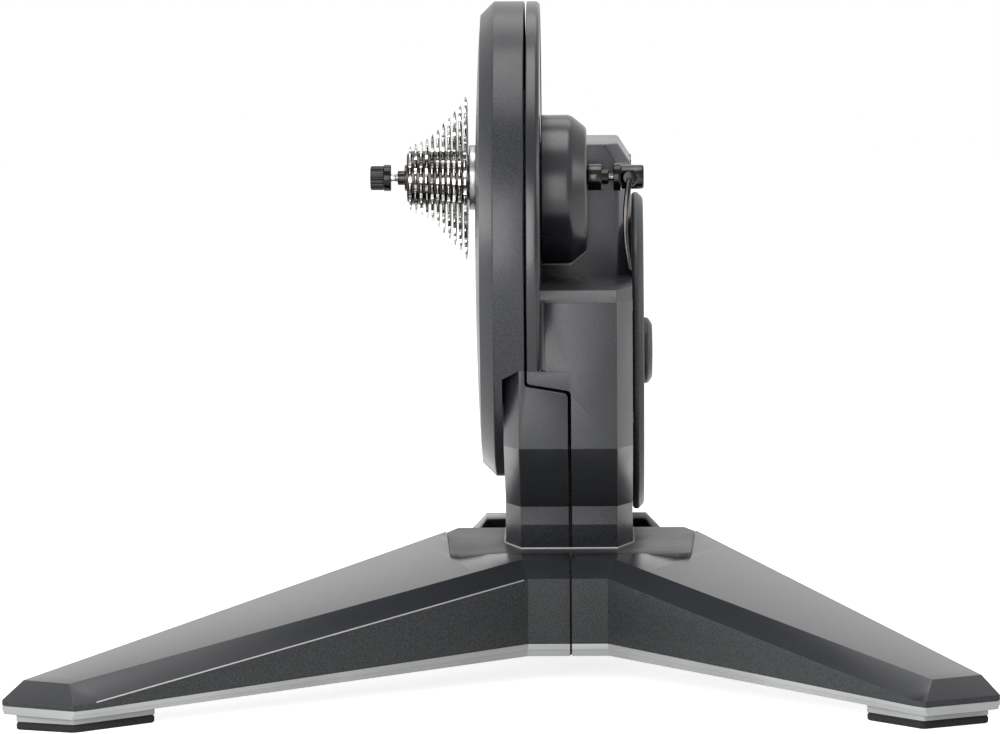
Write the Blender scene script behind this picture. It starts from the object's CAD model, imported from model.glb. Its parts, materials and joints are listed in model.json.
"""The finished look of a direct drive bike trainer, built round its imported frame.

Sizes are in millimetres and become metres where a mesh is made. +Z is up, +Y points to the bike's rear and
+X to its left side. The origin is on the floor, straight below the middle of the axle.
"""
import collections
import json
import math

import bpy
import bmesh
import numpy as np
from mathutils import Euler, Matrix


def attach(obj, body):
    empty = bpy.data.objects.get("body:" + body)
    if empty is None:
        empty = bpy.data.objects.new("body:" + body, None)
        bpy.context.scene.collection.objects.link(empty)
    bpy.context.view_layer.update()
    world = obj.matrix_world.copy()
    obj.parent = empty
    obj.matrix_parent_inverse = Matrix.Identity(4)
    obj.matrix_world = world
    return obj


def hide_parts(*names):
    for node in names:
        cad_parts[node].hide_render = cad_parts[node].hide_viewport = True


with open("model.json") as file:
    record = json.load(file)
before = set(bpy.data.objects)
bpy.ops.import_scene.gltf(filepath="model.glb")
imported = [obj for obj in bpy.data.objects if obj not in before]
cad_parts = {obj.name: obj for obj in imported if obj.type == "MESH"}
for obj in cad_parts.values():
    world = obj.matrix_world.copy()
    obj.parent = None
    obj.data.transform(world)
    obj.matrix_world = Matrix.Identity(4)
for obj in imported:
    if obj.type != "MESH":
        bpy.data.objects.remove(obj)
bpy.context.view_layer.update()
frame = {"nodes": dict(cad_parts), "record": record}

MM = 0.001

# Axle and the round parts on it
AXLE_Z = 340
DROPOUT = 67.5
PITCH = 3.81
CHAIN_PITCH = 12.7
TOOTH_COUNTS = (28, 25, 23, 21, 19, 17, 15, 14, 13, 12, 11)
LARGEST_SPROCKET_X = -25.4
SPROCKET_HALF = 0.9
TOOTH_DEPTH = 3.85
TOOTH_RISE = -0.15 * PITCH
WINDOW_R = 23.0
WINDOW_ARMS = 6
SPACER_R = 18.5
FREEHUB_R = 16.9
FREEHUB_BORE_R = 7.7
SPLINES = 9
LOCKRING_LEFT = -65.8
LOCKRING_RIGHT = -64.7
HUB_LEFT = -23.2
HUB_FLANGE_R = 22.2
HUB_R = 20
AXLE_R = 5
AXLE_BODY_R = 7.4
AXLE_END = 4.8
SKEWER_HOLE_R = 2.8
NUT_LEFT = -91
NUT_RIGHT = -76.7
NUT_COLLAR_X = -82
NUT_R = 8.3
NUT_COLLAR_R = 9.2
NUT_RIBS = 20
CAM_X = 86.5
CAM_LEFT = 75.5
CAM_RIGHT = 96.3
CAM_R = 8.3
CAM_COLLAR_R = 9.6
CAM_HOLE_R = 4.9
BARREL_R = 4.6
LEVER_HEAD_R = 6
LEVER_FRONT = -17.6
LEVER_REAR = -8.6
LEVER_LENGTH = 63
LEVER_BOW = 3.2
LEVER_ROOT_HALF = 2.1
LEVER_TAPER = 0.9

# Belt housing
HOUSING_R = 163
HOUSING_Y = 14
HOUSING_Z = 297
HOUSING_LEFT = -15.2
HOUSING_RIGHT = 26
PART_X = 15
PART_GAP = 1.5
HUB_HOLE_R = 24
HOUSING_CHAMFER = 9.5
HOUSING_FACE_R = 153.5
DOME_HEIGHT = 4.2
SHELL = 3

# Column
COLUMN_LEFT = 0.4
COLUMN_RIGHT = 87.6
COLUMN_FRONT = -128
COLUMN_REAR = 150
COLUMN_TOP = 271
COLUMN_BOTTOM = 79.9
SEAM_X = 45
SEAM_GAP = 2.1
STEP_Z = 208
STEP_DROP = 5
STRIP_WIDTH = 10.6
STRIP_DEPTH = 26
BAND_FRONT = -20
BAND_Z = 103.3
WAIST_Z = 116
CREASE_Z = 165
FOOT_REAR = 118
TOP_BEVEL = 8
LEDGE_Z = 217
LEDGE_END = 47
LEDGE_DEPTH = 1.0
CHANNEL_RIGHT = 28.7
BLOCK_SHOULDER_LOW = 211.6
BLOCK_SHOULDER_HIGH = 217.6
BLOCK_LEFT = 23
BLOCK_FRONT = 25
BLOCK_TOP = 361
BLOCK_BEVEL = 9
BLOCK_DROP = 14
BLOCK_STRIP = 15
BOSS_LEFT = 26.3
BOSS_R = 51
BOSS_SHOULDER = 46
BOSS_RIGHT = 57.2
BOSS_FACE_R = 42
BOSS_Z = 331.7

# Flywheel
WHEEL_Y = 95
WHEEL_Z = 213
WHEEL_R = 110.5
WHEEL_LEFT = 88.05
WHEEL_RIGHT = 96
SHAFT_R = 6.3
CAP_R = 23
CAP_LEFT = 96.3
CAP_RIGHT = 102.5

# Shell screws
SCREW_R = 3.4
SOCKET_R = 1.7

# Base and legs; the stations of a front leg are its seam, its elbow, the tip's shoulder and the tip's end
PLATE_TOP = 79.9
COVER_LEFT = -41
COVER_RIGHT = 131
COVER_FRONT = -44
COVER_REAR = 69
COVER_CORNER = 8
COVER_TOP = 92
COVER_FRONT_TOP = 84.9
COVER_END = 8
COVER_END_DROP = 3
COVER_GAP = 0.8
PIN_Y = 50
LEFT_PIN_X = -33
RIGHT_PIN_X = 123
EAR_R = 12
HINGE_ROOM_R = 13
BASE_FRONT = -80
ROOT_REAR = 38
TIP_BEVEL = 13
LEG_BOTTOM = 28
LEG_CREASE = 72
LEG_BEVEL_TOP = 84
LEG_TOP = 92.3
TIP_BOTTOM = 15.5
REAR_X = 41.5
REAR_START = 129
REAR_HALF = 68
REAR_TOP = 96
RIM_BOTTOMS = (19.2, 19.2, 9.8, 9.8)
RIM_TOPS = (27.7, 27.7, 15.2, 15.2)
PAD_TOP = 5
ARM_HALF = 6
ARM_BOTTOM = 34
ARM_TOP = 66.5
KNUCKLE_R = 9.6
KNUCKLE_TOP = 72.9
PIN_HOLE_R = 5.3
LIP_LAP = 0.25
LIP_THICK = 3
LIP_BOTTOM = 19.6
LIP_TOP = 71.4
Leg = collections.namedtuple("Leg", "seam_x elbow_x rear_elbow tip_front tip_rear pin_x foot")
LEGS = {
    "left": Leg(44.3, 16, (-44, 40), (-276, -335), (-325, -303), LEFT_PIN_X,
                ((-277, -326), (-317, -306), (-262, -262), (-226, -271))),
    "right": Leg(45.7, 70, (134, 40), (275, -335), (325, -300), RIGHT_PIN_X,
                 ((274, -326), (319, -294), (272, -256), (238, -276))),
}

# Faces that meet at less than these degrees are shaded as one
SMOOTH = 32
TURNED_SMOOTH = 35


# Shapes on arrays

def rounded(points, radius, steps=4):
    """Rounds every corner of a closed outline.

    Each corner P is replaced by the quadratic curve (1-t)^2 A + 2t(1-t) P + t^2 B, where A and B lie on the
    two edges at the radius from P, or at 45 percent of the edge where that is less.
    """
    corners = np.asarray(points, float)
    radius = np.broadcast_to(np.asarray(radius, float), len(corners))[:, None]
    before = np.roll(corners, 1, 0) - corners
    after = np.roll(corners, -1, 0) - corners
    before_length = np.linalg.norm(before, axis=1, keepdims=True)
    after_length = np.linalg.norm(after, axis=1, keepdims=True)
    cut = np.minimum(radius, 0.45 * np.minimum(before_length, after_length))
    start = corners + before / before_length * cut
    end = corners + after / after_length * cut
    t = np.linspace(0, 1, steps + 1)[None, :, None]
    curve = (1 - t) ** 2 * start[:, None] + 2 * t * (1 - t) * corners[:, None] + t ** 2 * end[:, None]
    return curve.reshape(-1, corners.shape[1])


def grid_faces(rows, columns, closed_rows=False):
    """Quads between neighbouring rows of a grid whose columns wrap round."""
    row = np.arange(rows if closed_rows else rows - 1)[:, None]
    column = np.arange(columns)[None, :]
    over = (column + 1) % columns
    up = (row + 1) % rows
    row, up = row * columns, up * columns
    quads = np.stack([row + column, row + over, up + over, up + column], -1)
    return quads.reshape(-1, 4).tolist()


def revolve(profile, y, z, sides):
    """Turns a closed profile of (x, r) round a line along X.

    The point at angle a is (x, y + r cos a, z + r sin a).
    """
    profile = np.asarray(profile, float)
    angle = np.linspace(0, 2 * np.pi, sides, endpoint=False)
    x = np.repeat(profile[:, :1], sides, 1)
    points = np.stack([x, y + profile[:, 1:] * np.cos(angle), z + profile[:, 1:] * np.sin(angle)], -1)
    return points.reshape(-1, 3), grid_faces(len(profile), sides, closed_rows=True)


def loft(rings):
    """A skin through rings of equal size, with a flat face on the first and last."""
    rings = np.asarray(rings, float)
    rows, columns = rings.shape[:2]
    faces = grid_faces(rows, columns)
    faces.append(list(range(columns))[::-1])
    faces.append(list(range((rows - 1) * columns, rows * columns)))
    return rings.reshape(-1, 3), faces


def level(outline, z):
    """An outline of (x, y) at one height."""
    outline = np.asarray(outline, float)
    return np.column_stack([outline, np.full(len(outline), float(z))])


def joined(*shapes):
    """Several shapes as one: their points in a row, their faces counted on."""
    points, faces, offset = [], [], 0
    for some_points, some_faces in shapes:
        points.append(some_points)
        faces += [[i + offset for i in face] for face in some_faces]
        offset += len(some_points)
    return np.concatenate(points), faces


def mesh_object(name, shape):
    """Puts a shape in millimetres into a mesh in metres, its doubles merged and its faces turned outwards."""
    points, faces = shape
    mesh = bpy.data.meshes.new(name)
    mesh.from_pydata((np.asarray(points) * MM).tolist(), [], faces)
    work = bmesh.new()
    work.from_mesh(mesh)
    bmesh.ops.remove_doubles(work, verts=work.verts, dist=1e-6)
    bmesh.ops.dissolve_degenerate(work, edges=work.edges, dist=1e-7)
    bmesh.ops.recalc_face_normals(work, faces=work.faces)
    work.to_mesh(mesh)
    work.free()
    made = bpy.data.objects.new(name, mesh)
    bpy.context.scene.collection.objects.link(made)
    return made


def bevelled(made, width, segments=3, angle=20):
    """Rounds the edges that turn more than the angle."""
    modifier = made.modifiers.new("edges", "BEVEL")
    modifier.width = width * MM
    modifier.segments = segments
    modifier.limit_method = "ANGLE"
    modifier.angle_limit = math.radians(angle)
    modifier.use_clamp_overlap = True
    apply_modifiers(made)


def apply_modifiers(made):
    """Replaces a mesh by what its modifiers make of it."""
    evaluated = made.evaluated_get(bpy.context.evaluated_depsgraph_get())
    mesh = bpy.data.meshes.new_from_object(evaluated)
    made.modifiers.clear()
    old = made.data
    made.data = mesh
    mesh.name = old.name


def cut(made, shape, operation="DIFFERENCE", edges=None):
    """Cuts a closed mesh by a closed shape, whose edges may be rounded first."""
    tool = mesh_object("tool", shape)
    if edges:
        bevelled(tool, *edges)
    modifier = made.modifiers.new("cut", "BOOLEAN")
    modifier.operation = operation
    modifier.solver = "EXACT"
    modifier.object = tool
    bpy.context.view_layer.update()
    apply_modifiers(made)
    bpy.data.objects.remove(tool)


def finished(made, body, paint, replaced, smooth=SMOOTH):
    """Gives a piece its body, slot, finish and smooth shading, and hides the nodes that it stands for."""
    made.data.materials.clear()
    made.data.materials.append(paint)
    made.data.shade_smooth()
    made.data.set_sharp_from_angle(angle=math.radians(smooth))
    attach(made, body)
    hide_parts(*replaced)


# Shader maths

class Wire:
    """A node's output that adds its own Math node when it is used in an expression."""

    def __init__(self, paint, socket):
        self.paint = paint
        self.socket = socket

    def math(self, operation, first, second):
        """A Math node's output for two numbers or wires."""
        return self.paint.node("ShaderNodeMath", {"operation": operation}, {0: first, 1: second})

    def __add__(self, other):
        return self.math("ADD", self, other)

    def __mul__(self, other):
        return self.math("MULTIPLY", self, other)


class Paint:
    """A material made of nodes, with one method for any node and a few named patterns."""

    def __init__(self, name, colour, roughness, metallic=0.0, **constants):
        self.material = bpy.data.materials.new(name)
        self.material.use_nodes = True
        self.tree = self.material.node_tree
        self.shader = self.tree.nodes["Principled BSDF"]
        self.set("Base Color", colour)
        self.set("Roughness", roughness)
        self.set("Metallic", metallic)
        for socket, value in constants.items():
            self.set(socket.replace("_", " "), value)
        self.place = self.node("ShaderNodeTexCoord", {}, {}, "Object")

    def set(self, socket, value):
        """Gives a shader socket a number, a colour or a wire."""
        self.feed(self.shader.inputs[socket], value)

    def feed(self, socket, value):
        """Links a wire to a socket, or writes a number or a colour on it."""
        if isinstance(value, Wire):
            self.tree.links.new(value.socket, socket)
        elif socket.type == "RGBA" and len(value) == 3:
            socket.default_value = (*value, 1.0)
        else:
            socket.default_value = value

    def node(self, kind, settings, inputs, output=0):
        """Adds a node: its settings first, then the values or wires of its sockets; returns one output."""
        made = self.tree.nodes.new(kind)
        for key, value in settings.items():
            setattr(made, key, value)
        for key, value in inputs.items():
            self.feed(made.inputs[key], value)
        return Wire(self, made.outputs[output])

    def noise(self, size, detail, stretch=(1, 1, 1)):
        """Noise whose blotches are about size millimetres across, narrower along a stretched axis."""
        scaled = self.node("ShaderNodeVectorMath", {"operation": "MULTIPLY"}, {0: self.place, 1: stretch})
        return self.node("ShaderNodeTexNoise", {}, {
            "Vector": scaled, "Scale": 1000.0 / size, "Detail": detail}, "Fac")

    def span(self, value, low, high, to_low, to_high):
        """A value's range low to high stretched to another range, smoothly at the ends."""
        return self.node("ShaderNodeMapRange", {"interpolation_type": "SMOOTHSTEP"}, {
            "Value": value, "From Min": low, "From Max": high, "To Min": to_low, "To Max": to_high})

    def blend(self, share, first, second):
        """A colour between two, by share."""
        return self.node("ShaderNodeMix", {"data_type": "RGBA"}, {0: share, 6: first, 7: second}, 2)

    def bump(self, height, depth):
        """Relief: height times depth in millimetres."""
        return self.node("ShaderNodeBump", {}, {"Height": height, "Distance": depth * MM, "Strength": 1.0})


def shade(value):
    """A grey of the given display value, 0 to 255, as a linear number."""
    share = value / 255
    return ((share + 0.055) / 1.055) ** 2.4 if share > 0.04 else share / 12.92


def tint(red, green, blue):
    """A colour of the given display values, as linear numbers."""
    return (shade(red), shade(green), shade(blue))


def grained_plastic(name, dark, light, roughness, grain, depth, gloss=0.45):
    """Moulded plastic with a spark-eroded grain: fine speckle in colour and relief, slow drift of gloss."""
    paint = Paint(name, dark, roughness, Specular_IOR_Level=gloss)
    fine = paint.noise(grain, 3.0)
    slow = paint.noise(60, 2.0)
    paint.set("Base Color", paint.blend(paint.span(fine, 0.35, 0.65, 0.0, 1.0), dark, light))
    paint.set("Roughness", paint.span(slow, 0.3, 0.7, roughness - 0.04, roughness + 0.05))
    paint.set("Normal", paint.bump(fine, depth))
    return paint.material


def smooth_paint(name, dark, light, roughness):
    """Sprayed satin paint: a slow drift of tone, a trace of orange peel."""
    paint = Paint(name, dark, roughness)
    slow = paint.noise(90, 2.0)
    peel = paint.noise(0.8, 2.0)
    paint.set("Base Color", paint.blend(paint.span(slow, 0.3, 0.7, 0.0, 1.0), dark, light))
    paint.set("Roughness", paint.span(peel, 0.3, 0.7, roughness - 0.03, roughness + 0.03))
    paint.set("Normal", paint.bump(peel, 0.003))
    return paint.material


def leg_finish(name, dark, light, side_dark, side_light):
    """Leg shell: satin paint on the slopes and the top, grained plastic on the upright sides.

    The face attribute named upright, which mark_upright writes, tells them apart.
    """
    paint = Paint(name, dark, 0.26, Coat_Roughness=0.22, Specular_IOR_Level=0.12)
    upright = paint.node("ShaderNodeAttribute", {"attribute_name": "upright"}, {}, "Fac")
    slow = paint.noise(90, 2.0)
    grain = paint.noise(0.9, 3.0)
    top = paint.blend(paint.span(slow, 0.3, 0.7, 0.0, 1.0), dark, light)
    side = paint.blend(paint.span(grain, 0.35, 0.65, 0.0, 1.0), side_dark, side_light)
    paint.set("Base Color", paint.blend(upright, top, side))
    paint.set("Roughness", upright * 0.24 + 0.24)
    paint.set("Coat Weight", upright * -0.5 + 0.5)
    paint.set("Normal", paint.bump(grain * upright, 0.04))
    return paint.material


def mark_upright(made, limit=0.35):
    """Writes 1 on each face whose normal's Z is under the limit, and 0 on the others."""
    mesh = made.data
    normals = np.empty(len(mesh.polygons) * 3)
    mesh.polygons.foreach_get("normal", normals)
    marks = (normals.reshape(-1, 3)[:, 2] < limit).astype(np.float32)
    layer = mesh.attributes.new("upright", "FLOAT", "FACE")
    layer.data.foreach_set("value", marks)


def metal(name, colour, dull, roughness, lines, blotch=25):
    """Metal with fine tool lines: noise drawn out along the lines' direction feeds roughness and relief."""
    paint = Paint(name, colour, roughness, 1.0)
    marks = paint.noise(0.5, 3.0, lines)
    slow = paint.noise(blotch, 2.0)
    paint.set("Base Color", paint.blend(paint.span(slow, 0.35, 0.65, 0.0, 1.0), colour, dull))
    paint.set("Roughness", paint.span(marks, 0.3, 0.7, roughness * 0.75, roughness * 1.3))
    paint.set("Normal", paint.bump(marks, 0.01))
    return paint.material


CHARCOAL = grained_plastic("charcoal_plastic", tint(22, 23, 25), tint(44, 45, 48), 0.31, 0.8, 0.035, 0.3)
COVER_PLASTIC = grained_plastic(
    "hinge_cover_plastic", tint(42, 43, 45), tint(66, 67, 69), 0.42, 0.8, 0.04, 0.25)
BOSS = grained_plastic("boss_plastic", tint(28, 29, 32), tint(36, 37, 41), 0.24, 1.0, 0.012, 0.42)
RING_PLASTIC = grained_plastic("ring_plastic", tint(18, 19, 22), tint(26, 28, 32), 0.26, 0.5, 0.012, 0.4)
BLOCK_PLASTIC = grained_plastic("block_plastic", tint(42, 43, 47), tint(54, 55, 60), 0.26, 0.5, 0.012, 0.4)
EDGE_LIGHT = grained_plastic("edge_trim", tint(150, 150, 150), tint(172, 172, 172), 0.4, 0.8, 0.01)
EDGE_GREY = smooth_paint("edge_grey", tint(140, 140, 140), tint(150, 150, 150), 0.4)
LEG = leg_finish("leg_paint", tint(34, 35, 38), tint(38, 39, 42), tint(34, 35, 36), tint(54, 55, 56))
SILVER = smooth_paint("silver_casting", tint(126, 127, 127), tint(140, 141, 141), 0.42)
RUBBER = grained_plastic("rubber", tint(22, 22, 23), tint(34, 34, 35), 0.8, 1.0, 0.06, 0.2)
NICKEL = metal("bright_steel", tint(190, 188, 184), tint(66, 65, 63), 0.2, (1, 1, 1), 5)
ALUMINIUM = metal("brushed_aluminium", tint(182, 182, 184), tint(156, 156, 158), 0.34, (1, 0.08, 0.08))
BLACK_CHROME = metal("black_chrome", tint(60, 58, 57), tint(36, 35, 34), 0.16, (1, 0.3, 0.3))
WHEEL_PAINT = grained_plastic("flywheel_paint", tint(40, 41, 43), tint(58, 59, 62), 0.4, 1.0, 0.03, 0.25)
CASTING = grained_plastic("dark_casting", tint(58, 60, 62), tint(84, 86, 88), 0.55, 1.4, 0.1)
BOARD = grained_plastic("circuit_board", tint(20, 70, 40), tint(30, 92, 52), 0.35, 3.0, 0.02)


# Camera, floor and light

# The camera was found from the photograph: place and target in metres, lens in millimetres, roll in degrees
CAMERA_PLACE = (0.0656, -5.5, 0.672)
CAMERA_TARGET = (-0.003, 0.0, 0.2097)
CAMERA_LENS = 289.5
CAMERA_ROLL = -0.35
WORLD_LEVEL = 0.36
FLOOR_HALF = 6000
FLOOR_GREY = 0.82
FLOOR_GLOW = 0.75

# Each lamp's name, place, size, power and the point that it faces
LAMPS = (
    ("overhead", (0, -150, 2600), (1500, 1500), 36, (0, 0, 200)),
    ("front_panel", (-450, -1500, 530), (1200, 1000), 28, (0, 0, 300)),
    ("left_side", (-2400, 200, 560), (1600, 600), 24, (0, 0, 420)),
    ("right_side", (2500, -500, 1200), (1000, 800), 10, (0, 0, 100)),
    ("right_fill", (2600, 900, 700), (1500, 1200), 10, (0, 0, 300)),
    ("rear_fill", (0, 1700, 2400), (2000, 1000), 10, (0, 0, 200)),
)


def make_camera():
    """A long lens in front of the object, turned a little about its own line of sight."""
    data = bpy.data.cameras.new("camera")
    data.sensor_width = 36
    data.lens = CAMERA_LENS
    data.clip_end = 50
    camera = bpy.data.objects.new("camera", data)
    bpy.context.scene.collection.objects.link(camera)
    camera.location = CAMERA_PLACE
    heading = np.array(CAMERA_TARGET) - np.array(camera.location)
    pitch = math.atan2(heading[2], math.hypot(heading[0], heading[1])) + math.pi / 2
    level_turn = Euler((pitch, 0, math.atan2(-heading[0], heading[1]))).to_matrix()
    camera.rotation_euler = (level_turn @ Matrix.Rotation(math.radians(CAMERA_ROLL), 3, "Z")).to_euler()
    bpy.context.scene.camera = camera


def make_stage():
    """A plain floor that shows white to camera, glossy and transmission rays and catches the shadow."""
    half = FLOOR_HALF
    points = np.array([[-half, -half, 0], [half, -half, 0], [half, half, 0], [-half, half, 0]], float)
    floor = mesh_object("floor", (points, [[0, 1, 2, 3]]))
    paint = Paint("floor", (FLOOR_GREY, FLOOR_GREY, FLOOR_GREY), 0.9, Emission_Strength=FLOOR_GLOW)
    direct = paint.node("ShaderNodeLightPath", {}, {}, "Is Camera Ray")
    mirrored = paint.node("ShaderNodeLightPath", {}, {}, "Is Glossy Ray")
    refracted = paint.node("ShaderNodeLightPath", {}, {}, "Is Transmission Ray")
    paint.set("Emission Color", direct + mirrored + refracted)
    floor.data.materials.append(paint.material)


def lamp(name, place, size, power, target):
    """A soft rectangular lamp that faces a point."""
    data = bpy.data.lights.new(name, "AREA")
    data.shape = "RECTANGLE"
    data.size, data.size_y = size[0] * MM, size[1] * MM
    data.energy = power
    made = bpy.data.objects.new(name, data)
    bpy.context.scene.collection.objects.link(made)
    place = np.array(place, float) * MM
    heading = np.array(target, float) * MM - place
    made.location = place
    yaw = math.atan2(heading[1], heading[0]) - math.pi / 2
    made.rotation_euler = (math.acos(-heading[2] / np.linalg.norm(heading)), 0, yaw)


def make_light():
    """The lamps, and a world that shows white to the same rays as the floor and lights the rest softly."""
    world = bpy.data.worlds.new("studio")
    bpy.context.scene.world = world
    world.use_nodes = True
    tree = world.node_tree
    back = tree.nodes["Background"]
    back.inputs["Color"].default_value = (1, 1, 1, 1)
    rays = tree.nodes.new("ShaderNodeLightPath")
    seen = rays.outputs["Is Camera Ray"]
    for ray in ("Is Glossy Ray", "Is Transmission Ray"):
        either = tree.nodes.new("ShaderNodeMath")
        either.operation = "MAXIMUM"
        tree.links.new(seen, either.inputs[0])
        tree.links.new(rays.outputs[ray], either.inputs[1])
        seen = either.outputs[0]
    strength = tree.nodes.new("ShaderNodeMapRange")
    strength.inputs["To Min"].default_value = WORLD_LEVEL
    strength.inputs["To Max"].default_value = 1.0
    tree.links.new(seen, strength.inputs["Value"])
    tree.links.new(strength.outputs[0], back.inputs["Strength"])
    for row in LAMPS:
        lamp(*row)


# Belt housing, column and upper block

def prism(axis, outline, start, end):
    """Carries a flat outline along an axis; its pairs are (y, z), (x, z) or (x, y) for axis x, y or z."""
    outline = np.asarray(outline, float)
    order = {"x": (2, 0, 1), "y": (0, 2, 1), "z": (0, 1, 2)}[axis]
    rings = [np.column_stack([outline, np.full(len(outline), place)])[:, order] for place in (start, end)]
    return loft(rings)


def circle(radius, first, second, sides):
    """A flat circle's points about a centre."""
    angle = np.linspace(0, 2 * np.pi, sides, endpoint=False)
    return np.column_stack([first + radius * np.cos(angle), second + radius * np.sin(angle)])


def dome(radius):
    """How far the left face bulges at a radius.

    It is the height times 1 - 0.9 s^2 - 0.1 s^6, where s is the radius as a share of the face's.
    """
    share = radius / HOUSING_FACE_R
    return DOME_HEIGHT * (1 - 0.9 * share ** 2 - 0.1 * share ** 6)


def make_housing():
    """Two thin round shells with the parting gap between them, each a closed profile that is turned."""
    face = np.linspace(0, HOUSING_FACE_R, 16)
    outer = np.column_stack([HOUSING_LEFT - dome(face), face])
    corner = rounded([outer[-1], (HOUSING_LEFT + HOUSING_CHAMFER, HOUSING_R), (PART_X, HOUSING_R),
                      (PART_X, HOUSING_R - SHELL)], [0.5, 0.9, 1.0, 0.4])
    inner = np.column_stack([HOUSING_LEFT + SHELL - dome(face[:-1]), face[:-1]])[::-1]
    profile = np.vstack([outer[:-1], corner, inner])
    left = mesh_object("housing_left_shell", revolve(profile, HOUSING_Y, HOUSING_Z, 288))
    hub_hole = prism("x", circle(HUB_HOLE_R, 0, AXLE_Z, 64), HOUSING_LEFT - 20, PART_X - 15)
    cut(left, hub_hole)
    stand_in = [(-0.3, 100), (-0.3, BLOCK_SHOULDER_LOW), (COLUMN_LEFT + STRIP_WIDTH, BLOCK_SHOULDER_HIGH),
                (PART_X + 1, BLOCK_SHOULDER_HIGH), (PART_X + 1, 100)]
    cut(left, prism("y", stand_in, -180, -96))
    finished(left, "stand", CHARCOAL, ["drive_cover"])

    ring_left = PART_X + PART_GAP
    profile = rounded([
        (ring_left, HOUSING_R - SHELL), (ring_left, HOUSING_R), (HOUSING_RIGHT - 2.5, HOUSING_R),
        (HOUSING_RIGHT, HOUSING_R - 2.5)], [0.4, 0.9, 1.4, 1.2], 4)
    rest = [(HOUSING_RIGHT, 0), (HOUSING_RIGHT - SHELL, 0), (HOUSING_RIGHT - SHELL, HOUSING_R - SHELL)]
    right = mesh_object("housing_right_shell", revolve(np.vstack([profile, rest]), HOUSING_Y, HOUSING_Z, 288))
    finished(right, "stand", RING_PLASTIC, ["flywheel_side_cover"])


def column_ring(z, front, rear):
    """The column in plan at one height: a box whose two front corners are cut back."""
    strip = front + STRIP_DEPTH
    return level([
        (COLUMN_LEFT, rear), (COLUMN_LEFT, strip), (COLUMN_LEFT + STRIP_WIDTH, front),
        (COLUMN_RIGHT - STRIP_WIDTH, front), (COLUMN_RIGHT, strip), (COLUMN_RIGHT, rear)], z)


def parting(side):
    """The space left of the parting line; side -1 is the near edge of the gap and 1 the far edge."""
    far = 600
    seam = SEAM_X + side * SEAM_GAP / 2
    part = PART_X + (side + 1) * PART_GAP / 2
    low = STEP_Z - STEP_DROP + side * PART_GAP / 2
    high = STEP_Z + side * PART_GAP / 2
    corners = [(-far, 0), (seam, 0), (seam, low), (part, high), (part, far), (-far, far)]
    return prism("y", rounded(corners, [0.01, 0.01, 3, 2, 0.01, 0.01], 3), -far, far)


def make_column():
    """Column: one loft from foot to shelf, split along the parting line.

    The right half has a shallow ledge beside the housing's ring, and a narrow channel between the two.
    """
    rings = [
        column_ring(COLUMN_BOTTOM, BAND_FRONT + 3, FOOT_REAR), column_ring(BAND_Z, BAND_FRONT - 5, FOOT_REAR),
        column_ring(WAIST_Z, BAND_FRONT - 5, FOOT_REAR), column_ring(CREASE_Z, COLUMN_FRONT, COLUMN_REAR),
        column_ring(COLUMN_TOP - TOP_BEVEL, COLUMN_FRONT, COLUMN_REAR),
        column_ring(COLUMN_TOP, COLUMN_FRONT + TOP_BEVEL, COLUMN_REAR - TOP_BEVEL)]
    for name, side, operation, replaced in (
            ("column_left", -1, "INTERSECT", "drive_cover"),
            ("column_right", 1, "DIFFERENCE", "flywheel_side_cover")):
        half = mesh_object(name, loft(rings))
        cut(half, parting(side), operation)
        if side > 0:
            face = COLUMN_FRONT
            ledge = [(HOUSING_RIGHT - 2, face - 9), (LEDGE_END, face - 9), (LEDGE_END, face),
                     (CHANNEL_RIGHT, face + LEDGE_DEPTH), (HOUSING_RIGHT - 2, face + LEDGE_DEPTH)]
            cut(half, prism("z", ledge, LEDGE_Z, COLUMN_TOP - TOP_BEVEL))
            channel = [(HOUSING_RIGHT - 0.1, face - 9), (CHANNEL_RIGHT, face - 9), (CHANNEL_RIGHT, face + 9),
                       (HOUSING_RIGHT - 0.1, face + 9)]
            cut(half, prism("z", channel, LEDGE_Z + 0.4, COLUMN_TOP - TOP_BEVEL + 2))
        bevelled(half, 1.7, 4, 12)
        finished(half, "stand", CHARCOAL, [replaced])


def make_block():
    """Upper block: its outer edge is cut back at the front and along the top."""
    def ring(z, right, front):
        rear = COLUMN_REAR - TOP_BEVEL
        return level([(BLOCK_LEFT, rear), (BLOCK_LEFT, front), (right - BLOCK_BEVEL, front),
                      (right, front + BLOCK_STRIP), (right, rear)], z)
    block = mesh_object("upper_block", loft([
        ring(COLUMN_TOP - 12, COLUMN_RIGHT, BLOCK_FRONT),
        ring(BLOCK_TOP - BLOCK_DROP, COLUMN_RIGHT, BLOCK_FRONT),
        ring(BLOCK_TOP, COLUMN_RIGHT - BLOCK_BEVEL, BLOCK_FRONT)]))
    bevelled(block, 1.6, 4, 12)
    finished(block, "stand", BLOCK_PLASTIC, ["flywheel_side_cover"])


def make_boss():
    """Round collar between the belt housing and the dropout, with a bright lip at its lowest point."""
    profile = rounded([
        (BOSS_LEFT, 10), (BOSS_LEFT, BOSS_R), (BOSS_SHOULDER, BOSS_R), (BOSS_RIGHT, BOSS_FACE_R),
        (BOSS_RIGHT, 10)], [0.2, 0.8, 3.0, 2.4, 0.2], 5)
    boss = mesh_object("boss_collar", revolve(profile, 0, BOSS_Z, 160))
    finished(boss, "stand", BOSS, ["axle_boss"], 40)
    low, face_low = BOSS_Z - BOSS_R, BOSS_Z - BOSS_FACE_R
    edge = [(BOSS_LEFT, low), (BOSS_SHOULDER - 0.6, low), (BOSS_RIGHT - 1.2, face_low),
            (BOSS_RIGHT - 0.6, face_low - 0.8), (BOSS_SHOULDER, low - 0.9), (BOSS_LEFT, low - 0.9)]
    lip = mesh_object("boss_lip", prism("y", edge, -3, 3))
    bevelled(lip, 0.3, 2, 30)
    finished(lip, "stand", EDGE_LIGHT, ["axle_boss"])


# Base, front legs and rear leg

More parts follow.
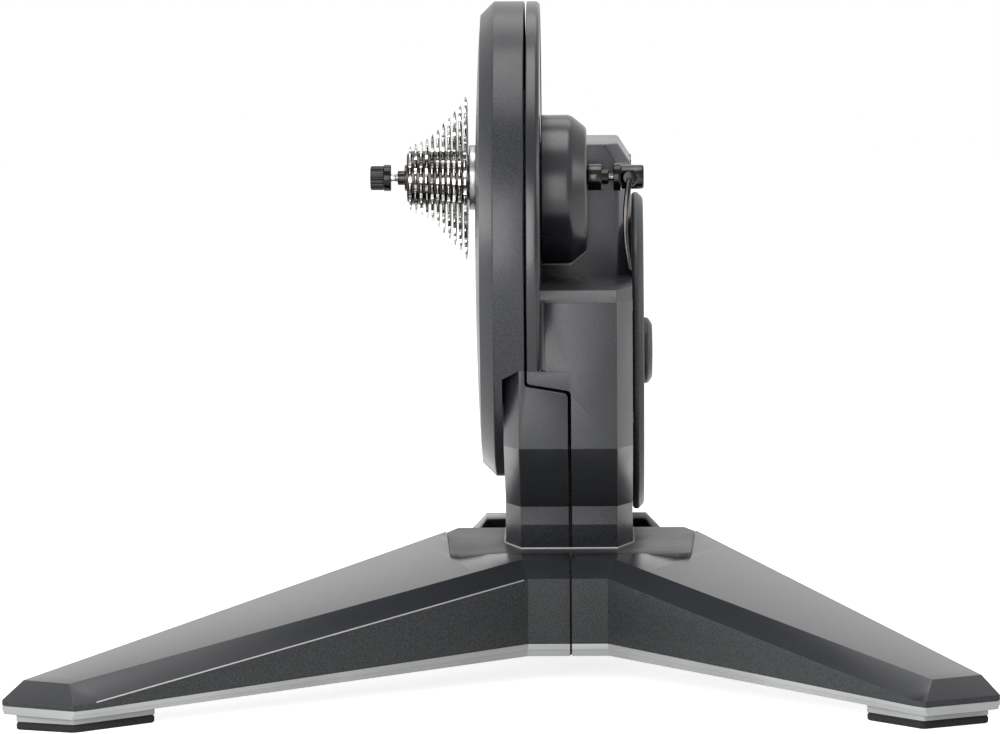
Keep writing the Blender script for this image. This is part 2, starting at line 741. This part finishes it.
def cover_wedge(rise):
    """The space between the base and the cover's sloping top, which may lie a little higher."""
    return prism("x", [
        (COVER_FRONT - 5, PLATE_TOP - 2), (COVER_REAR + 5, PLATE_TOP - 2), (COVER_REAR + 5, COVER_TOP + rise),
        (COVER_FRONT - 5, COVER_FRONT_TOP + rise)], COVER_LEFT - 20, COVER_RIGHT + 20)


def make_hinge_cover():
    """Plate on the base and the bright trim round the column's foot.

    The plate is its outline carried up, then cut to the sloping top, the dropped ends and the column's foot.
    """
    corner = COVER_CORNER
    outline = rounded([
        (COVER_LEFT + 4, COVER_FRONT), (COVER_RIGHT - 4, COVER_FRONT), (COVER_RIGHT, PIN_Y),
        (COVER_RIGHT, COVER_REAR - corner), (COVER_RIGHT - corner, COVER_REAR),
        (COVER_LEFT + corner, COVER_REAR), (COVER_LEFT, COVER_REAR - corner), (COVER_LEFT, PIN_Y)],
        [9, 9, 1, 1.5, 1.5, 1.5, 1.5, 1], 5)
    plate = mesh_object("hinge_cover_plate", prism("z", outline, PLATE_TOP, COVER_TOP + 6))
    for x in (LEFT_PIN_X, RIGHT_PIN_X):
        ear = prism("z", circle(EAR_R, x, PIN_Y, 40), PLATE_TOP, COVER_TOP + 6)
        cut(plate, ear, "UNION")
    cut(plate, cover_wedge(0), "INTERSECT")
    drop = COVER_END_DROP * 2
    ends = prism("y", [
        (COVER_LEFT - EAR_R, PLATE_TOP - 2), (COVER_RIGHT + EAR_R, PLATE_TOP - 2),
        (COVER_RIGHT + EAR_R, COVER_TOP - drop), (COVER_RIGHT - COVER_END, COVER_TOP),
        (COVER_LEFT + COVER_END, COVER_TOP), (COVER_LEFT - EAR_R, COVER_TOP - drop)], -100, 100)
    cut(plate, ends, "INTERSECT")
    room = column_ring(0, BAND_FRONT - COVER_GAP, 200)[:, :2]
    room[:2, 0] -= COVER_GAP
    room[-2:, 0] += COVER_GAP
    cut(plate, prism("z", room, PLATE_TOP - 10, COVER_TOP + 20))
    bevelled(plate, 0.7, 3, 25)
    finished(plate, "stand", COVER_PLASTIC, ["hinge_cover"])
    outer = room + np.array([[-0.4, 0], [-0.4, 0], [0, -0.6], [0, -0.6], [0.4, 0], [0.4, 0]])
    inner = room + np.array([[0.5, 0], [0.5, 0], [0, 0.55], [0, 0.55], [-0.5, 0], [-0.5, 0]])
    outer[[0, -1], 1] = COVER_REAR - 2
    inner[[0, -1], 1] = COVER_REAR + 20
    trim = mesh_object("column_foot_trim", prism("z", outer, PLATE_TOP + 2, COVER_TOP + 20))
    cut(trim, prism("z", inner, PLATE_TOP - 5, COVER_TOP + 30))
    cut(trim, cover_wedge(0.7), "INTERSECT")
    finished(trim, "stand", EDGE_LIGHT, ["hinge_cover"])


def leg_stations(side):
    """Front and rear corners of a leg in plan at its four stations."""
    leg = LEGS[side]
    front_elbow = np.array([leg.elbow_x, BASE_FRONT])
    tip_front, tip_rear, rear_elbow = map(np.array, (leg.tip_front, leg.tip_rear, leg.rear_elbow))
    back = TIP_BEVEL / np.linalg.norm(tip_front - front_elbow)
    seam = np.array([leg.seam_x, BASE_FRONT]), np.array([leg.seam_x, ROOT_REAR])
    shoulder = tip_front + (front_elbow - tip_front) * back, tip_rear + (rear_elbow - tip_rear) * back
    return [seam, (front_elbow, rear_elbow), shoulder, (tip_front, tip_rear)]


def leg_rings(side):
    """The shell's section at each station: front side, bevel between two creases, top, rear side."""
    base = (LEG_BOTTOM, LEG_CREASE, LEG_BEVEL_TOP, LEG_TOP)
    heights = [base, base, (TIP_BOTTOM, 19, 31.2, 31.2), (TIP_BOTTOM, 19, 19.3, 19.3)]
    bevels = [12, 12, 17, 0.3]
    rings = []
    for (front, rear), (bottom, low, high, top), bevel in zip(leg_stations(side), heights, bevels):
        inward = (rear - front) / np.linalg.norm(rear - front)
        rings.append([
            (*front, bottom), (*front, low), (*(front + inward * bevel), high),
            (*(rear - inward * bevel * 0.3), top), (*rear, max(low, bottom + 0.3)), (*rear, bottom)])
    return rings


def between(rings, steps):
    """Adds rings on straight lines between the given ones, so that a twisted face comes out smooth."""
    dense = []
    for first, last, count in zip(rings[:-1], rings[1:], steps):
        first, last = np.asarray(first, float), np.asarray(last, float)
        dense += [first + (last - first) * k / count for k in range(count)]
    return dense + [np.asarray(rings[-1], float)]


def make_leg(side):
    """A front leg's shell, cut free of the hinge cover and the pin, with a dark lip at the seam.

    The lips close the view through the slit between the legs. The left leg has a bright bead on its crease.
    """
    body = side + "_leg"
    pin_x = LEGS[side].pin_x
    shell = mesh_object(side + "_leg_shell", loft(between(leg_rings(side), (3, 28, 2))))
    left, right = COVER_LEFT - COVER_GAP, COVER_RIGHT + COVER_GAP
    cover = [
        (COVER_LEFT + 4, COVER_FRONT - 0.7), (COVER_RIGHT - 4, COVER_FRONT - 0.7), (right, PIN_Y),
        (right, 90), (left, 90), (left, PIN_Y)]
    room = prism("z", rounded(cover, [9.5, 9.5, 1, 0.1, 0.1, 1], 5), PLATE_TOP - 7, 120)
    cut(shell, room)
    cut(shell, prism("z", circle(HINGE_ROOM_R, pin_x, PIN_Y, 48), 0, 120))
    bevelled(shell, 1.5, 4, 9)
    finished(shell, body, LEG, [side + "_leg_cover"], 25)
    mark_upright(shell)
    if side == "left":
        elbow, shoulder = (np.array(ring[1], float) for ring in leg_rings(side)[1:3])
        start, end = elbow + (shoulder - elbow) * 0.01, elbow + (shoulder - elbow) * 0.985
        section = np.array([
            (-0.1, -0.1, -0.5), (0.28, -0.32, -0.2), (0.3, -0.35, 0.2), (-0.1, -0.1, 0.5), (-1, 1, 0)])
        bead = mesh_object("left_leg_crease_bead", loft([start + section, end + section]))
        finished(bead, body, EDGE_GREY, ["left_leg_cover"], 60)
    reach, back = (SEAM_X + LIP_LAP, 3) if side == "left" else (SEAM_X - LIP_LAP, 9)
    near, far = sorted((LEGS[side].seam_x, reach))
    place = BASE_FRONT + back
    outline = [(near, place), (far, place), (far, place + LIP_THICK), (near, place + LIP_THICK)]
    lip = mesh_object(side + "_leg_dust_lip", prism("z", outline, LIP_BOTTOM, LIP_TOP + back))
    finished(lip, body, RUBBER, [side + "_leg_cover"])


def make_frame(side):
    """The slab under a leg's shell, whose lower half leans in, and the arm and knuckle that hold its pin."""
    rings = []
    for (front, rear), bottom, top in zip(leg_stations(side), RIM_BOTTOMS, RIM_TOPS):
        inward = (rear - front) / np.linalg.norm(rear - front)
        middle = bottom + (top - bottom) * 0.5
        tuck = inward * 1.6
        rings.append([
            (*(front + tuck), bottom), (*(front + tuck * 0.5), middle - 0.4),
            (*front, middle + 0.3), (*front, top), (*rear, top), (*rear, middle + 0.3),
            (*(rear - tuck * 0.5), middle - 0.4), (*(rear - tuck), bottom)])
    slab = mesh_object(side + "_leg_rim", loft(rings))
    pin_x = LEGS[side].pin_x
    left, right = pin_x - ARM_HALF, pin_x + ARM_HALF
    cut(slab, prism("z", circle(HINGE_ROOM_R, pin_x, PIN_Y, 48), 0, ARM_BOTTOM - 1))
    arm = prism("z", [(left, -4), (right, -4), (right, PIN_Y), (left, PIN_Y)], ARM_BOTTOM, ARM_TOP)
    post = prism("z", [(left, -4), (right, -4), (right, 8), (left, 8)], 24, ARM_TOP)
    knuckle = prism("z", circle(KNUCKLE_R, pin_x, PIN_Y, 48), ARM_BOTTOM, KNUCKLE_TOP)
    for shape in (arm, post, knuckle):
        cut(slab, shape, "UNION")
    cut(slab, prism("z", circle(PIN_HOLE_R, pin_x, PIN_Y, 40), 0, 90))
    bevelled(slab, 0.5, 3, 25)
    finished(slab, side + "_leg", SILVER, [side + "_leg_frame"])


def shrunk(outline, amount):
    """Moves each corner of an outline towards its middle."""
    outline = np.asarray(outline, float)
    toward = outline.mean(0) - outline
    return outline + toward / np.linalg.norm(toward, axis=1, keepdims=True) * amount


def make_pad(name, body, outline, replaced):
    """Rubber pad: a rounded slab, drawn in a little where it meets its block."""
    outer = rounded(outline, 3.5, 4)
    rings = [level(shrunk(outer, inset), z) for z, inset in
             ((0, 1.5), (0.5, 0.6), (1.2, 0.1), (4.0, 0), (4.3, 0.6), (PAD_TOP, 0.6))]
    pad = mesh_object(name, loft(rings))
    finished(pad, body, RUBBER, [replaced], 40)


def make_feet():
    """The front legs' foot blocks, each a slab cut to the rim's sloping underside, and all three pads."""
    for side in ("left", "right"):
        outline = LEGS[side].foot
        slab = prism("z", rounded(outline, 3, 4), PAD_TOP + 0.3, RIM_BOTTOMS[0])
        block = mesh_object(side + "_foot_step", slab)
        under = [[(*front, z - 30), (*front, z - 0.3), (*rear, z - 0.3), (*rear, z - 30)]
                 for (front, rear), z in zip(leg_stations(side), RIM_BOTTOMS)]
        cut(block, loft(under), "INTERSECT")
        bevelled(block, 0.5, 3, 30)
        finished(block, side + "_leg", SILVER, [side + "_foot_block"])
        make_pad(side + "_foot_rubber", side + "_leg", outline, side + "_foot_pad")
    rear = [(REAR_X - 26, 298), (REAR_X + 26, 298), (REAR_X + 26, 332), (REAR_X - 26, 332)]
    make_pad("rear_foot_rubber", "stand", rear, "rear_foot_pad")


def rear_ring(y, half, bottom, top, inset=0.0):
    """The rear leg's section at one place along Y: upright sides, shoulders cut back and a flat top."""
    rise = 12.5
    return [
        (REAR_X - half + inset, y, bottom), (REAR_X - half + inset, y, top - rise - inset),
        (REAR_X - half + 12, y, top - inset), (REAR_X + half - 12, y, top - inset),
        (REAR_X + half - inset, y, top - rise - inset), (REAR_X + half - inset, y, bottom)]


def make_rear_leg():
    """Rear leg: a shell open at the front, its shoulders cut back like those of the front legs."""
    shell = mesh_object("rear_leg_shell", loft([
        rear_ring(REAR_START, REAR_HALF, LEG_BOTTOM, REAR_TOP), rear_ring(322, 46, TIP_BOTTOM, 32),
        rear_ring(335, 40, TIP_BOTTOM, 28.4)]))
    inside = loft([rear_ring(REAR_START - 4, REAR_HALF, 20, REAR_TOP, 3.2), rear_ring(321, 46, 10, 32, 3.2)])
    cut(shell, inside)
    bevelled(shell, 1.2, 3, 14)
    finished(shell, "stand", LEG, ["rear_leg_cover"], 25)
    mark_upright(shell)
    band = loft([
        rear_ring(REAR_START - 1.5, REAR_HALF, LEG_BOTTOM + 1, REAR_TOP),
        rear_ring(REAR_START + 4, REAR_HALF, LEG_BOTTOM + 1, REAR_TOP - 1)])
    edge = mesh_object("rear_leg_front_edge", band)
    cut(edge, inside)
    bevelled(edge, 0.9, 3, 14)
    finished(edge, "stand", EDGE_GREY, ["rear_leg_cover"], 25)


def screw(axis, x, y, z):
    """A countersunk socket screw: its head lies in the surface at (x, y, z) and faces along the axis."""
    outer, place = ((y, z), x) if axis == "x" else ((x, z), y)
    head = mesh_object("screw_head", prism(axis, circle(SCREW_R, *outer, 28), place - 1.5, place + 0.35))
    socket = prism(axis, circle(SOCKET_R, *outer, 6), place - 1.2, place + 2)
    cut(head, socket)
    return head


def make_screws():
    """Screws that hold the shells together, on the sides away from the camera."""
    left, right = "drive_cover", "flywheel_side_cover"
    rows = [(right, "y", SEAM_X + 9, COLUMN_REAR, z) for z in (184, 222, 256)]
    rows += [(left, "y", 9, COLUMN_REAR, z) for z in (176, 198)]
    rows += [(right, "x", COLUMN_RIGHT, y, z) for y, z in ((-84, 182), (-84, 258), (60, 345), (126, 345))]
    heads = [screw(*row[1:]) for row in rows]
    for number, (head, row) in enumerate(zip(heads, rows), 1):
        head.name = "shell_screw_%d" % number
        bevelled(head, 0.3, 2, 40)
        finished(head, "stand", BLACK_CHROME, [row[0]])


# Axle, cassette and quick release

def pitch_radius(teeth):
    """The radius at which a chain's pins run round a sprocket."""
    return CHAIN_PITCH / 2 / math.sin(math.pi / teeth)


def sprocket(teeth, x):
    """One toothed plate.

    The rim's radius at turn a is root + (tip - root) * w, where w is clip(0.46 + 0.95 cos(teeth a), 0, 1)
    smoothed as w^2 (3 - 2 w), so that round gaps lie between narrow teeth. The half thickness falls to 28
    percent at the tips. Where the number of teeth is even, the tips lean to one side and the other in turn.
    """
    root, tip = pitch_radius(teeth) - TOOTH_DEPTH, pitch_radius(teeth) + TOOTH_RISE
    count = teeth * 20
    angle = np.linspace(0, 2 * np.pi, count, endpoint=False)
    wave = np.clip(0.46 + 0.95 * np.cos(teeth * angle), 0, 1)
    wave = wave ** 2 * (3 - 2 * wave)
    rim = root + (tip - root) * wave
    half = SPROCKET_HALF
    thin = half * (1 - 0.72 * wave)
    lean = 0.25 * np.cos(teeth * angle / 2) * wave * (0 if teeth % 2 else 1)
    inner = np.full(count, FREEHUB_R + 0.3)
    chamfer = np.minimum(root - 0.8, rim)

    def ring(offset, radius):
        return np.stack([x + offset + 0 * angle, radius * np.cos(angle), AXLE_Z + radius * np.sin(angle)], -1)
    rings = [ring(-half, inner), ring(-half, chamfer), ring(-half * 0.9, np.minimum(root, rim)),
             ring(-thin + lean, rim), ring(thin + lean, rim), ring(half * 0.9, np.minimum(root, rim)),
             ring(half, chamfer), ring(half, inner)]
    rings = np.stack(rings)
    return rings.reshape(-1, 3), grid_faces(len(rings), count, closed_rows=True)


def windows(teeth, x):
    """Cut-outs of a large sprocket: a ring of rounded slots between the spider's arms."""
    inner, outer = WINDOW_R, pitch_radius(teeth) - 9.0
    if outer - inner < 6:
        return []
    arms = WINDOW_ARMS
    shapes = []
    for k in range(arms):
        start, end = (k + 0.16) * 2 * math.pi / arms, (k + 0.84) * 2 * math.pi / arms
        arc = np.linspace(start, end, 10)
        outline = np.vstack([
            np.column_stack([outer * np.cos(arc), AXLE_Z + outer * np.sin(arc)]),
            np.column_stack([inner * np.cos(arc[::-1]), AXLE_Z + inner * np.sin(arc[::-1])])])
        shapes.append(prism("x", rounded(outline, 0.9, 2), x - 1.6, x + 1.6))
    return shapes


def make_cassette():
    """Eleven sprockets whose teeth thin towards their tips, with the thin rings that space them apart."""
    for i, teeth in enumerate(TOOTH_COUNTS):
        x = LARGEST_SPROCKET_X - i * PITCH
        plate = mesh_object("sprocket_plate_%d" % teeth, sprocket(teeth, x))
        slots = windows(teeth, x)
        if slots:
            cut(plate, joined(*slots))
        finished(plate, "cassette", NICKEL, ["sprocket_%d" % teeth], 30)
        if i:
            left, right = x + 1.0, x + PITCH - 1.0
            ring = [(left, FREEHUB_R + 0.3), (left, SPACER_R - 0.2), (left + 0.2, SPACER_R),
                    (right - 0.2, SPACER_R), (right, SPACER_R - 0.2), (right, FREEHUB_R + 0.3)]
            spacer = mesh_object("sprocket_spacer_%d" % teeth, revolve(ring, 0, AXLE_Z, 72))
            finished(spacer, "cassette", BLACK_CHROME, ["sprocket_%d" % teeth], 30)


def knurled(profile, y, z, sides, ridges, depth, rows):
    """A turned piece whose given rows are drawn in between ridges, by depth * (0.5 - 0.5 cos(ridges a))."""
    points, faces = revolve(profile, y, z, sides)
    grid = points.reshape(len(profile), sides, 3)
    angle = np.arctan2(grid[rows, :, 2] - z, grid[rows, :, 1] - y)
    pull = depth * (0.5 - 0.5 * np.cos(ridges * angle))
    grid[rows, :, 1] -= pull * np.cos(angle)
    grid[rows, :, 2] -= pull * np.sin(angle)
    return grid.reshape(-1, 3), faces


def make_axle():
    """Axle tube, end cap, distance ring and hub shell: turned pieces with eased edges."""
    left, right = -DROPOUT - AXLE_END, DROPOUT + AXLE_END
    axle = rounded([
        (left, 2.9), (left, AXLE_R), (-DROPOUT + 2.3, AXLE_R), (-DROPOUT + 2.3, AXLE_BODY_R),
        (57.5, AXLE_BODY_R), (57.5, AXLE_R), (right, AXLE_R), (right, 2.9)],
        [0.3, 0.7, 0.2, 0.4, 0.4, 0.2, 0.7, 0.3], 3)
    cap = rounded([
        (-DROPOUT, 5.3), (-DROPOUT, 9), (-DROPOUT + 2, 9), (-DROPOUT + 2, 5.3)], [0.2, 0.6, 0.4, 0.2], 3)
    spacer = rounded([(57.8, 5.3), (57.8, 9.2), (DROPOUT, 9.2), (DROPOUT, 5.3)], [0.2, 0.5, 0.6, 0.2], 3)
    for name, profile, replaced in (
            ("axle_tube", axle, "main_axle"), ("axle_cap", cap, "axle_end_cap"),
            ("axle_distance_ring", spacer, "axle_spacer")):
        piece = mesh_object(name, revolve(profile, 0, AXLE_Z, 72))
        finished(piece, "stand", BLACK_CHROME, [replaced], TURNED_SMOOTH)
    flange = rounded([
        (HUB_LEFT, 14.3), (HUB_LEFT, HUB_FLANGE_R), (-18.3, HUB_FLANGE_R), (-18.3, HUB_R), (11, HUB_R),
        (11, 14.3), (4, 14.3), (4, 8.6), (-16, 8.6), (-16, 14.3)],
        [0.2, 0.8, 0.5, 0.4, 0.5, 0.3, 0.2, 0.2, 0.2, 0.2], 3)
    hub = mesh_object("hub_body", revolve(flange, 0, AXLE_Z, 96))
    finished(hub, "hub", ALUMINIUM, ["hub_shell"], TURNED_SMOOTH)


def make_freehub():
    """Freehub body with its nine splines, and the lockring with its tool notches.

    The grooves between the splines are 1.1 / (1 + exp(-14 (cos(9 a) - 0.55))) deep at turn a.
    """
    left = LARGEST_SPROCKET_X - (len(TOOTH_COUNTS) - 1) * PITCH - SPROCKET_HALF
    right = LARGEST_SPROCKET_X + SPROCKET_HALF
    profile = np.array([
        (left, FREEHUB_BORE_R), (left, FREEHUB_R - 0.5), (left + 0.5, FREEHUB_R), (right - 0.3, FREEHUB_R),
        (right, FREEHUB_R - 0.3), (right, 15.7), (right + 1, 15.7), (right + 1, FREEHUB_BORE_R)])
    sides = 180
    points, faces = revolve(profile, 0, AXLE_Z, sides)
    grid = points.reshape(len(profile), sides, 3)
    angle = np.arctan2(grid[1:5, :, 2] - AXLE_Z, grid[1:5, :, 1])
    groove = 1.1 / (1 + np.exp(-14 * (np.cos(SPLINES * angle) - 0.55)))
    grid[1:5, :, 1] -= groove * np.cos(angle)
    grid[1:5, :, 2] -= groove * np.sin(angle)
    freehub = mesh_object("freehub_splined", (grid.reshape(-1, 3), faces))
    finished(freehub, "cassette", BLACK_CHROME, ["freehub_body"], TURNED_SMOOTH)
    ring = rounded([
        (LOCKRING_LEFT, 10), (LOCKRING_LEFT, 16.5), (LOCKRING_LEFT + 0.6, 17), (LOCKRING_RIGHT, 17),
        (LOCKRING_RIGHT, 10)], 0.15, 2)
    lockring = mesh_object("lockring", revolve(ring, 0, AXLE_Z, 96))
    notches = [prism("x", circle(0.9, 10.6 * math.cos(a), AXLE_Z + 10.6 * math.sin(a), 12), -67, -64)
               for a in np.arange(12) * math.pi / 6]
    cut(lockring, joined(*notches))
    finished(lockring, "cassette", BLACK_CHROME, ["cassette_lockring"], TURNED_SMOOTH)


def make_quick_release():
    """Knurled nut, cam housing and the bowed lever on its barrel."""
    nut = rounded([
        (NUT_LEFT, SKEWER_HOLE_R), (NUT_LEFT, NUT_R), (NUT_COLLAR_X, NUT_R),
        (NUT_COLLAR_X + 0.4, NUT_COLLAR_R), (NUT_RIGHT, NUT_COLLAR_R), (NUT_RIGHT, SKEWER_HOLE_R)],
        [0.2, 1.3, 0.3, 0.3, 0.8, 0.2], 4)
    x, radius = nut.T
    ribbed = np.where((x > NUT_LEFT + 0.6) & (x < NUT_COLLAR_X) & (radius > 8))[0]
    thumb_nut = mesh_object("skewer_thumb_nut", knurled(nut, 0, AXLE_Z, 240, NUT_RIBS, 0.5, ribbed))
    finished(thumb_nut, "skewer_nut", BLACK_CHROME, ["skewer_nut"], TURNED_SMOOTH)
    housing = rounded([
        (CAM_LEFT, 0), (CAM_LEFT, CAM_COLLAR_R), (80.5, CAM_COLLAR_R), (80.9, CAM_R), (CAM_RIGHT, CAM_R),
        (CAM_RIGHT, 0)], [0.01, 0.8, 0.4, 0.3, 1.5, 0.01], 4)
    cam = mesh_object("cam_body", revolve(housing, 0, AXLE_Z, 96))
    cut(cam, prism("y", circle(CAM_HOLE_R, CAM_X, AXLE_Z, 48), -20, 20))
    cut(cam, prism("x", circle(SKEWER_HOLE_R, 0, AXLE_Z, 32), 70, 81.3))
    finished(cam, "stand", BLACK_CHROME, ["cam_housing"], TURNED_SMOOTH)
    lever = mesh_object("lever_barrel", prism("y", circle(BARREL_R, CAM_X, AXLE_Z, 48), -10.9, 8.3))
    head = prism("y", circle(LEVER_HEAD_R, CAM_X, AXLE_Z, 64), -13.1, LEVER_REAR)
    cut(lever, head, "UNION", (2.4, 5, 50))
    steps = np.linspace(0, 1, 25)
    middle_x = CAM_X - np.sin(steps * math.pi) * LEVER_BOW
    middle_z = AXLE_Z - steps * LEVER_LENGTH
    half = LEVER_ROOT_HALF - LEVER_TAPER * steps
    outline = np.vstack([np.column_stack([middle_x + half, middle_z]),
                         np.column_stack([middle_x - half, middle_z])[::-1]])
    cut(lever, prism("y", outline, LEVER_FRONT, LEVER_REAR), "UNION", (1.0, 4, 50))
    finished(lever, "release_lever", BLACK_CHROME, ["release_lever"], TURNED_SMOOTH)


def make_flywheel():
    """Flywheel disc with a stepped rim, a shallow dished face and a crowned hub cap."""
    profile = rounded([
        (WHEEL_LEFT, SHAFT_R), (WHEEL_LEFT, WHEEL_R - 1.5), (WHEEL_LEFT + 1.5, WHEEL_R),
        (WHEEL_RIGHT - 4, WHEEL_R), (WHEEL_RIGHT, WHEEL_R - 4), (WHEEL_RIGHT, 92.8), (WHEEL_RIGHT - 2, 90.8),
        (WHEEL_RIGHT - 2, CAP_R + 2), (WHEEL_RIGHT, CAP_R), (WHEEL_RIGHT, SHAFT_R)],
        [0.2, 0.6, 0.6, 1.6, 1.6, 0.6, 0.6, 0.6, 0.5, 0.2], 4)
    disc = mesh_object("flywheel_disc", revolve(profile, WHEEL_Y, WHEEL_Z, 256))
    finished(disc, "flywheel", WHEEL_PAINT, ["flywheel"], TURNED_SMOOTH)
    profile = rounded([
        (CAP_LEFT, SHAFT_R), (CAP_LEFT, CAP_R), (99, CAP_R), (102.2, 18.4), (CAP_RIGHT, 0.01), (99.8, 0.01),
        (99.8, SHAFT_R)],
        [0.2, 0.5, 2.0, 2.0, 0.01, 0.01, 0.2], 5)
    cap = mesh_object("flywheel_cap", revolve(profile, WHEEL_Y, WHEEL_Z, 128))
    finished(cap, "flywheel", WHEEL_PAINT, ["flywheel_hub_cap"], TURNED_SMOOTH)


# Everything together

SLOT_PAINT = {
    "charcoal_plastic": CHARCOAL, "boss_plastic": BOSS, "leg_paint": LEG, "silver_casting": SILVER,
    "rubber": RUBBER, "dark_casting": CASTING, "flywheel_paint": WHEEL_PAINT, "bright_steel": NICKEL,
    "brushed_aluminium": ALUMINIUM, "black_chrome": BLACK_CHROME, "circuit_board": BOARD,
}
for row in frame["record"]["subparts"]:
    mesh = frame["nodes"][row["node"]].data
    mesh.materials.clear()
    mesh.materials.append(SLOT_PAINT[row["material_slot"]])

bpy.context.scene.view_settings.view_transform = "Standard"
make_camera()
make_stage()
make_light()

make_housing()
make_column()
make_block()
make_boss()
make_hinge_cover()
for side in ("left", "right"):
    make_leg(side)
    make_frame(side)
make_feet()
make_rear_leg()
make_screws()
make_cassette()
make_axle()
make_freehub()
make_quick_release()
make_flywheel()
